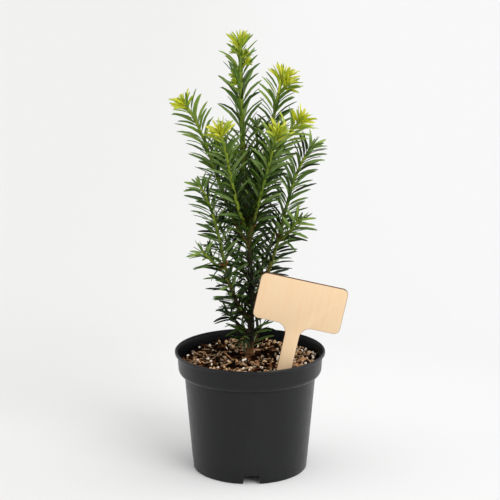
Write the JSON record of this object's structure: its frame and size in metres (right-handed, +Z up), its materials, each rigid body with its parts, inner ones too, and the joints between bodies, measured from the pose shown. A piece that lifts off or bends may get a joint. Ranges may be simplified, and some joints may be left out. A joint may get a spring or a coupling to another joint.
{
  "type": "potted english yew sapling",
  "caption": "Young english yew with upright needled shoots and pale young tips, growing in a round black plastic nursery pot of bark and peat mix, with a blank wooden plant label.",
  "frame": {"origin": "centre of the pot's flat underside", "axes": "+Z up along the trunk, the label's face looks along -Y, +X to the right of someone reading it"},
  "size_m": [0.1488, 0.13, 0.3786],
  "materials": {
    "pot_plastic": "satin black moulded polypropylene",
    "peat_and_bark": "loose peat, bark fibre and pale grains, dull",
    "birch_plywood": "bare thin plywood with charred laser-cut edges",
    "bark": "rough brown bark, greener towards the top",
    "yew_foliage": "waxy dark green needles, yellow-green when young"
  },
  "bodies": {
    "root": {"pot": "pot_plastic", "potting_mix": "peat_and_bark", "plant_label": "birch_plywood", "trunk": "bark", "bough_right_long": "bark", "bough_left_long": "bark", "bough_left_high": "bark", "bough_right_high": "bark", "bough_right_middle": "bark", "bough_front_right": "bark", "bough_front_left": "bark", "bough_back_right": "bark", "bough_back_left": "bark", "bough_back_middle": "bark", "bough_back_low_right": "bark", "bough_back_low_left": "bark", "bough_front_low": "bark", "bough_back_foot": "bark", "bough_low_left": "bark", "bough_foot_left": "bark", "bough_foot_right": "bark", "shoot_right_long": "yew_foliage", "shoot_left_long": "yew_foliage", "shoot_left_high": "yew_foliage", "shoot_right_high": "yew_foliage", "shoot_right_middle": "yew_foliage", "shoot_front_right": "yew_foliage", "shoot_front_left": "yew_foliage", "shoot_back_right": "yew_foliage", "shoot_back_left": "yew_foliage", "shoot_back_middle": "yew_foliage", "shoot_back_low_right": "yew_foliage", "shoot_back_low_left": "yew_foliage", "shoot_front_low": "yew_foliage", "shoot_back_foot": "yew_foliage", "shoot_low_left": "yew_foliage", "shoot_foot_left": "yew_foliage", "shoot_foot_right": "yew_foliage", "needles_leader": "yew_foliage", "needles_trunk_middle": "yew_foliage", "needles_trunk_low": "yew_foliage"}
  },
  "joints": []
}
